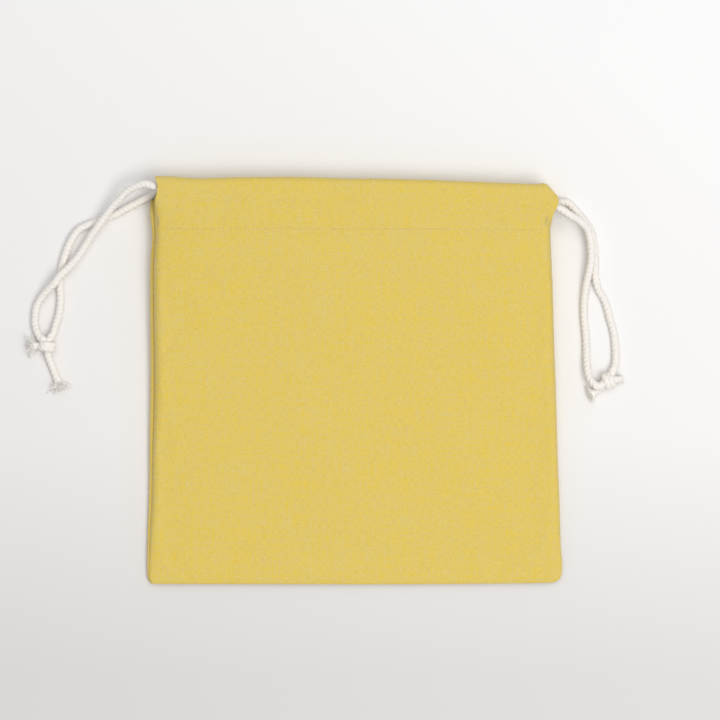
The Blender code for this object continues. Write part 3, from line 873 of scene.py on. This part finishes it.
def panel_points(height, inward, left):
    """A panel's middle surface as a grid of points, with its flat coordinates."""
    rows, shares = panel_rows(), column_shares()
    y, over, drop, turned = (column[:, None] for column in rows.T)
    share = shares[None, :] + 0 * y
    narrowed = 0.985 - 0.075 * smoothstep(SLIT_BASE + 0.002, SLIT_BASE - 0.004, y)
    share = share * (1 + (narrowed - 1) * smoothstep(0, 1, turned))
    x = outline(share, y + over, left)
    z = height(share, x, y) + inward * drop * (0.35 + 0.65 * side_dome(share, y))
    points = stacked(x, settled(x, y) + over, z)
    steps = np.abs(np.diff(rows[:, 0])) + np.abs(np.diff(rows[:, 3])) * math.pi * FOLD_RADIUS
    lengths = np.concatenate([[0], np.cumsum(steps)])
    return points, stacked(share * SLIT_EDGE, lengths[:, None])


def roll_left_edge(points, flat):
    """The back panel comes round the left edge to the front, and is sewn there. Adds those columns."""
    rows = panel_rows()
    y, turned = rows[:, 0], rows[:, 3]
    shut = SLIT_BASE + LEFT_SLIT_SHUT
    rolled = smoothstep(shut + 0.0045, shut + 0.0005, y) * smoothstep(BOTTOM, BOTTOM + 0.006, y)
    rolled = rolled * (turned == 0)
    width = through(BACK_LEFT_EDGE, y) - through(FRONT_LEFT_EDGE, y)
    radius = np.clip(width, 0.0002, None) / 2 * rolled
    added, more_flat = [], []
    for turn in np.radians([200, 165, 130, 95, 60, 30, 5])[:, None]:
        shift = stacked(radius * (1 - np.cos(turn)), 0 * y, radius * 1.25 * np.sin(turn))
        added.append(points[:, :1] + shift[:, None])
        more_flat.append(flat[:, :1] - stacked(radius * turn, 0 * y)[:, None])
    return np.concatenate([*added, points], axis=1), np.concatenate([*more_flat, flat], axis=1)


def grid_mesh(name, points, flat):
    rows, columns = points.shape[:2]
    index = np.arange(rows * columns).reshape(rows, columns)
    corners = [index[:-1, :-1], index[:-1, 1:], index[1:, 1:], index[1:, :-1]]
    faces = np.stack(corners, axis=-1).reshape(-1, 4)
    mesh = bpy.data.meshes.new(name)
    mesh.from_pydata(points.reshape(-1, 3).tolist(), [], faces.tolist())
    layer = mesh.uv_layers.new(name="flat")
    layer.data.foreach_set("uv", flat.reshape(-1, 2)[faces.ravel()].astype(np.float32).ravel())
    mesh.shade_smooth()
    return in_scene(name, mesh)


def only(piece):
    bpy.ops.object.select_all(action="DESELECT")
    piece.select_set(True)
    bpy.context.view_layer.objects.active = piece


def assign(owner, **settings):
    for name, value in settings.items():
        setattr(owner, name, value)


def modified(piece, kind, **settings):
    """The piece with one modifier applied to it."""
    only(piece)
    modifier = piece.modifiers.new(kind, kind)
    assign(modifier, **settings)
    bpy.ops.object.modifier_apply(modifier=modifier.name)
    return piece


def subdivided(piece):
    return modified(piece, "SUBSURF", levels=1, render_levels=1, boundary_smooth="PRESERVE_CORNERS")


def thickened(piece, thickness):
    return modified(piece, "SOLIDIFY", thickness=thickness, offset=0)


def vertex_normals(mesh):
    normals = np.empty(len(mesh.vertices) * 3)
    mesh.vertices.foreach_get("normal", normals)
    return normals.reshape(-1, 3)


def half_sheet(whole, name, side, material):
    """One half of a sheet, split at the middle. Its shading still runs on into the other half."""
    mesh = whole.data.copy()
    half = in_scene(name, mesh)
    cut = bmesh.new()
    cut.from_mesh(mesh)
    tag = cut.verts.layers.int.new("first")
    for vertex in cut.verts:
        vertex[tag] = vertex.index
    wrong = [face for face in cut.faces if face.calc_center_median().x * side < 0]
    bmesh.ops.delete(cut, geom=wrong, context="FACES")
    cut.verts.ensure_lookup_table()
    kept = [vertex[tag] for vertex in cut.verts]
    cut.to_mesh(mesh)
    cut.free()
    normals = vertex_normals(whole.data)[kept]
    thickened(half, CLOTH)
    shell = len(kept)
    every = vertex_normals(half.data)
    facing = np.sign(np.sum(every[:shell] * normals, axis=1).mean())
    every[:shell] = normals * facing
    every[shell : 2 * shell] = -normals * facing
    half.data.normals_split_custom_set_from_vertices([tuple(normal) for normal in every])
    half.data.materials.clear()
    half.data.materials.append(material)
    return half


def follow_gather(piece):
    """Bakes the piece's placing into its points, and returns it."""
    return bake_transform(piece)


def settle(panel, held):
    """Lets the cloth find its own shape between its seams and folds, and moves no point far."""
    before = np.array([vertex.co for vertex in panel.data.vertices])
    group = panel.vertex_groups.new(name="held")
    for index in np.flatnonzero(held > 0.01):
        group.add([int(index)], float(held.ravel()[index]), "REPLACE")
    only(panel)
    modifier = panel.modifiers.new("drape", "CLOTH")
    assign(modifier.settings, vertex_group_mass="held", **DRAPE)
    modifier.settings.effector_weights.gravity = 0.25
    modifier.collision_settings.use_collision = False
    assign(modifier.point_cache, frame_start=1, frame_end=DRAPE_FRAMES)
    for step in range(1, DRAPE_FRAMES + 1):
        bpy.context.scene.frame_set(step)
    bpy.ops.object.modifier_apply(modifier=modifier.name)
    bpy.context.scene.frame_set(1)
    moved = np.array([vertex.co for vertex in panel.data.vertices]) - before
    length = np.linalg.norm(moved, axis=1)
    allowed = MOST_SETTLING * np.tanh(length / MOST_SETTLING)
    moved *= (allowed / np.maximum(length, 1e-9))[:, None]
    panel.data.vertices.foreach_set("co", (before + moved).astype(np.float32).ravel())
    panel.data.update()


def held_share(points):
    """1 where a panel is sewn, folded or cut, and 0 in its free middle."""
    rows = panel_rows()
    y, turned = rows[:, 0][:, None], rows[:, 3][:, None]
    at_side = smoothstep(0.955, 0.985, np.abs(points[:, :, 0]) / SLIT_EDGE)
    at_bottom = smoothstep(0.0045, 0.002, y - BOTTOM)
    sewn = smoothstep(STITCH_LINE - 0.016, STITCH_LINE - 0.007, y) * (y < STITCH_LINE + 0.0005)
    folded = (turned > 0) | (y > FOLD_LINE - 0.001)
    return np.maximum(np.maximum(at_side, at_bottom), np.maximum(sewn, folded))


def panels(material):
    halves = {"front": {}, "back": {}}
    for name, height, inward, left in (
        ("front", front_height, -1, FRONT_LEFT_EDGE),
        ("back", back_height, 1, BACK_LEFT_EDGE),
    ):
        points, flat = panel_points(height, inward, left)
        if name == "back":
            points, flat = roll_left_edge(points, flat)
        whole = grid_mesh(f"{name}_cloth", points, flat)
        if name == "front":
            settle(whole, held_share(points))
        subdivided(whole)
        for side_name, side in SIDES.items():
            half = half_sheet(whole, f"{name}_panel_{side_name}", side, material)
            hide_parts(f"{name}_panel")
            halves[name][side_name] = follow_gather(half)
        bpy.data.objects.remove(whole, do_unlink=True)
    return halves


# Threads, hems and seam allowances


def surface(halves, x, y, side):
    """Where the pouch's outside is at a place, met from the front, 1, or from the back, -1."""
    start = Vector((x, y, MIDDLE + side * 0.04))
    half = halves["left" if x < 0 else "right"]
    hit, place = half.ray_cast(start, (0, 0, -side))[:2]
    return place if hit else Vector((x, y, MIDDLE + side * MIDDLE))


def stitch(middle, along, out, length=STITCH_LENGTH, radius=THREAD / 2):
    """One stitch: its thread comes out of the cloth, lies on it and goes back in."""
    points = []
    for step in range(9):
        t = 2 * step / 8 - 1
        points.append(middle + along * (t * length / 2) + out * (0.00010 - 0.00042 * t**4))
    return cord_rings(points, radius=radius, step=0.00022, around=10, lay=0.0011, strands=2)


def thread_piece(name, tubes, material, side, *nodes):
    piece = tube_mesh(name, tubes, material)
    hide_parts(*nodes)
    return follow_gather(piece)


def slope(halves, x, y, side, reach):
    """The direction across the cloth at a place."""
    return (surface(halves, x + reach, y, side) - surface(halves, x - reach, y, side)).normalized()


def casing_stitches(halves, material):
    """A row of stitches across each panel, which holds its casing's flap."""
    for face, side in (("front", 1), ("back", -1)):
        for half, across in SIDES.items():
            draw = random.Random(40 + side + 10 * across)
            tubes = []
            for number in range(STITCHES_PER_HALF):
                x = across * (number + 0.5) * STITCH_PITCH
                y = float(settled(np.array(x), np.array(STITCH_LINE))) + draw.uniform(-0.00008, 0.00008)
                middle = surface(halves[face], x, y, side)
                tubes.append(stitch(middle, slope(halves[face], x, y, side, 0.0008), Vector((0, 0, side))))
            thread_piece(f"{face}_casing_stitches_{half}", tubes, material, across, f"{face}_casing_thread")


def bartacks(halves, material):
    """A short dense zigzag at the base of each slit."""
    passes, gap, from_edge = 9, 0.00036, 0.0016
    for name, across, edge in FRONT_EDGES:
        low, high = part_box(f"{name}_bartack")
        tubes = []
        for number in range(passes):
            y = (low.y + high.y) / 2 + (number - (passes - 1) / 2) * gap
            x = across * min(abs(low.x + high.x) / 2, float(through(edge, y)) - from_edge)
            middle = surface(halves["front"], x, y, 1)
            slant = Vector((0, 0.16 * (-1) ** number, 0))
            along = (slope(halves["front"], x, y, 1, 0.0005) + slant).normalized()
            tubes.append(stitch(middle, along, Vector((0, 0, 1)), 0.0013, THREAD * 0.4))
        thread_piece(f"{name}_slit_bartack", tubes, material, across, f"{name}_bartack")


def on_side_seam(across, edge, y, inset):
    return Vector((across * (float(through(edge, y)) - inset), y, float(seam_height(y))))


def seam_stitches(material):
    """The stitches that join the panels, just inside the pouch's edge."""
    inset, pitch = 0.0008, 0.0027
    high = SLIT_BASE - 2 * SLIT_EASE
    for name, across, edge in FRONT_EDGES:
        tubes = []
        for y in np.arange(BOTTOM + 0.004, high, pitch):
            place = on_side_seam(across, edge, y, inset)
            tubes.append(stitch(place, Vector((0, 1, 0)), Vector((-across, 0, 0)), *SEAM_STITCH))
        thread_piece(f"{name}_seam_stitches", tubes, material, across, f"{name}_seam_thread")
    for name, across in SIDES.items():
        tubes = []
        for x in np.arange(pitch / 2, SLIT_EDGE - 0.004, pitch):
            place = Vector((across * x, BOTTOM + inset, BOTTOM_SEAM_HEIGHT))
            tubes.append(stitch(place, Vector((1, 0, 0)), Vector((0, 1, 0)), *SEAM_STITCH))
        thread_piece(f"bottom_seam_stitches_{name}", tubes, material, across, "bottom_seam_thread")


def strip(name, line, inward, width, thickness, material):
    """A narrow band of cloth along a line, with its width in one direction."""
    steps = np.linspace(0, 1, 6)
    points = np.array([[point + inward * (width * t) for t in steps] for point in line])
    flat = stacked(steps[None, :] * width, distances(line)[:, None])
    piece = thickened(grid_mesh(name, points, flat), thickness)
    piece.data.materials.append(material)
    return piece


def overlock_loops(line, inward, width, height, pitch):
    """The looping thread that wraps a raw edge."""
    along = distances(line)
    steps = 12 * int(along[-1] / pitch)
    points = []
    for step in range(steps):
        turn = 2 * math.pi * step / 12
        place = along[-1] * step / (steps - 1)
        middle = Vector([np.interp(place, along, [point[axis] for point in line]) for axis in range(3)])
        out = inward * (width * (0.5 + 0.5 * math.cos(turn)))
        points.append(middle + out + Vector((0, 0, height * math.sin(turn))))
    return cord_rings(points, radius=0.00016, step=0.0006, around=6, strands=0)


def seam_allowances(cloth, thread):
    """The seams' raw edges inside the pouch, wrapped in overlock thread."""
    width, thickness, from_edge, corner = 0.0040, 0.0007, 0.0018, 0.011
    lines = []
    for name, across, edge in FRONT_EDGES:
        heights = np.linspace(BOTTOM + corner, SLIT_BASE - 2 * SLIT_EASE, 50)
        line = [on_side_seam(across, edge, y, from_edge) for y in heights]
        lines.append((f"{name}_seam", across, line, Vector((-across, 0, 0)), f"{name}_seam_overlock"))
    for name, across in SIDES.items():
        places = np.linspace(0, SLIT_EDGE - corner + 0.001, 30)
        line = [Vector((across * x, BOTTOM + from_edge, BOTTOM_SEAM_HEIGHT)) for x in places]
        lines.append((f"bottom_seam_{name}", across, line, Vector((0, 1, 0)), "bottom_seam_overlock"))
    for name, across, line, inward, node in lines:
        allowance = strip(f"{name}_allowance", line, inward, width, thickness, cloth)
        follow_gather(allowance)
        inner = [point + inward * (width - 0.0031) for point in line]
        loops = overlock_loops(inner, inward, width=0.0032, height=thickness * 0.5 + 0.00014, pitch=0.0017)
        thread_piece(f"{name}_overlock_loops", [loops], thread, across, node)


def slit_hems(cloth):
    """The slit edges of each panel, turned in and rolled round the cut edge."""
    step = CLOTH + LAYER_GAP / 2
    for face, height, inward in (("front", front_height, -1), ("back", back_height, 1)):
        left = FRONT_LEFT_EDGE if face == "front" else BACK_LEFT_EDGE
        for name, across in SIDES.items():
            y = np.linspace(SLIT_BASE + SLIT_EASE + 0.0006, FOLD_LINE, 14)[:, None]
            edge = through(left if across < 0 else RIGHT_EDGE, y)
            turns = np.linspace(0, math.pi * 0.8, 6)
            insets = np.concatenate([[0.0042, 0.0032, 0.0022, 0.0012], 0.0004 - step / 2 * np.sin(turns)])
            drops = np.concatenate([[step] * 4, step / 2 + step / 2 * np.cos(turns)])
            x = across * (edge - insets[None, :])
            z = height(x / edge, x, y) + inward * drops[None, :]
            points = stacked(x, settled(x, y + 0 * x), z)
            hem = grid_mesh(f"{name}_{face}_turned_hem", points, stacked(x, y))
            hem = thickened(subdivided(hem), CLOTH * 0.9)
            hem.data.materials.append(cloth)
            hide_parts(f"{name}_{face}_slit_hem")
            follow_gather(hem)


def main():
    camera()
    floor()
    lights()
    cords()
    cloth, thread = cloth_finish(), thread_finish()
    halves = panels(cloth)
    casing_stitches(halves, thread_finish("casing_thread", 0.8))
    bartacks(halves, thread)
    seam_stitches(thread)
    seam_allowances(cloth, thread)
    slit_hems(cloth)


main()
